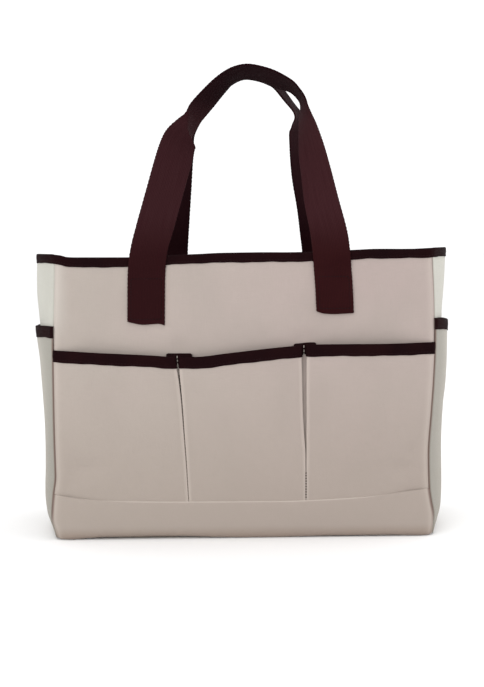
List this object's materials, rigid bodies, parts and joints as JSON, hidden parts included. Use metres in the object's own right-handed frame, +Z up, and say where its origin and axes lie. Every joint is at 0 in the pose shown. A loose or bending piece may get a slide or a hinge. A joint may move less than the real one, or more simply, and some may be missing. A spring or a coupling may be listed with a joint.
{
  "type": "garden tool bag",
  "caption": "Canvas tote for garden tools: open main compartment, front and side pockets, bound edges, and two webbing handles that fold outward.",
  "frame": {"origin": "on the floor, at the middle of the bag's base", "axes": "+Z up, +X towards the bag's right as seen from the front, -Y is the front with the row of pockets"},
  "size_m": [0.4496, 0.166, 0.4977],
  "materials": {
    "canvas": "unbleached cotton canvas, matte",
    "side_canvas": "unbleached cotton canvas, matte",
    "tape": "dark maroon-brown cotton tape",
    "webbing": "dark maroon-brown woven webbing",
    "thread": "pale sewing thread",
    "dark_thread": "dark sewing thread",
    "board": "plain stiffening board"
  },
  "bodies": {
    "bag": {"front_panel": "canvas", "back_panel": "canvas", "left_gusset": "side_canvas", "right_gusset": "side_canvas", "bottom_panel": "canvas", "base_board": "board", "base_wrap": "canvas", "rim_binding": "tape", "front_pocket_panel": "canvas", "front_pocket_binding": "tape", "divider_stitch_1": "thread", "divider_stitch_2": "thread", "left_pocket_panel": "side_canvas", "right_pocket_panel": "side_canvas", "left_pocket_binding": "tape", "right_pocket_binding": "tape", "front_handle_left_tab": "webbing", "front_handle_right_tab": "webbing", "back_handle_left_tab": "webbing", "back_handle_right_tab": "webbing", "front_left_box_stitch": "dark_thread", "front_right_box_stitch": "dark_thread", "back_left_box_stitch": "dark_thread", "back_right_box_stitch": "dark_thread"},
    "front_handle": {"front_handle": "webbing"},
    "back_handle": {"back_handle": "webbing"}
  },
  "joints": [
    {"name": "front_handle_fold", "type": "hinge", "parent": "bag", "child": "front_handle", "pos_m": [0, -0.0793, 0.2973], "axis": [1, 0, 0], "range_deg": [0, 178]},
    {"name": "back_handle_fold", "type": "hinge", "parent": "bag", "child": "back_handle", "pos_m": [0, 0.0793, 0.2973], "axis": [-1, 0, 0], "range_deg": [0, 178]}
  ]
}
